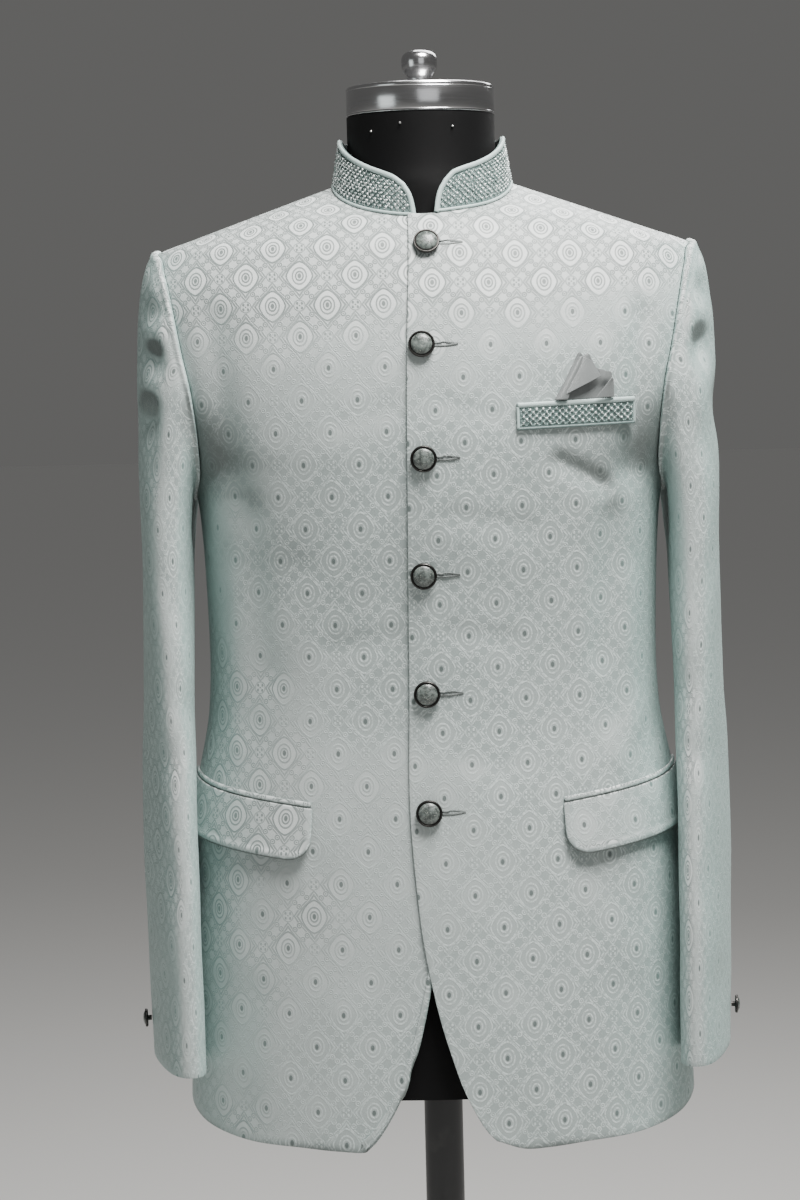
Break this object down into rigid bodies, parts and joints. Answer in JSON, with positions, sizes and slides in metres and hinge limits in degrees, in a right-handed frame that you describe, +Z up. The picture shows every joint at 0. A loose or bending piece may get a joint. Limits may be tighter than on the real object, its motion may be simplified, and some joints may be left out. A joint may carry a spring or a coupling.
{
  "type": "bandhgala jacket on a dress form",
  "caption": "Long-sleeved jacket with a stand collar, buttoned front and flap pockets, worn by a limbless dress form on a pole with a round base.",
  "frame": {"origin": "centre of the underside of the stand's round base, on the floor", "axes": "+Z up along the pole; the jacket's front faces -Y; +X is the wearer's left"},
  "size_m": [0.4924, 0.35, 1.563],
  "materials": {
    "brocade": "woven jacquard with a soft sheen",
    "beaded_band": "beaded lattice over satin",
    "satin": "soft satin",
    "button_metal": "dark metal rim round a grey stone",
    "form_cover": "stretched smooth, satin",
    "cap_chrome": "polished",
    "stand_paint": "satin"
  },
  "bodies": {
    "root": {"back_left": "brocade", "back_right": "brocade", "button_1": "button_metal", "button_2": "button_metal", "button_3": "button_metal", "button_4": "button_metal", "button_5": "button_metal", "button_6": "button_metal", "cap_knob": "cap_chrome", "collar_left": "beaded_band", "collar_right": "beaded_band", "cuff_button_left": "button_metal", "cuff_button_right": "button_metal", "flap_left": "brocade", "flap_right": "brocade", "form_torso": "form_cover", "front_left": "brocade", "front_right": "brocade", "jet_left": "brocade", "jet_right": "brocade", "neck_cap": "cap_chrome", "pocket_square": "satin", "pocket_welt": "beaded_band", "sleeve_left": "brocade", "sleeve_right": "brocade", "stand_base": "stand_paint", "stand_pole": "stand_paint"}
  },
  "joints": []
}
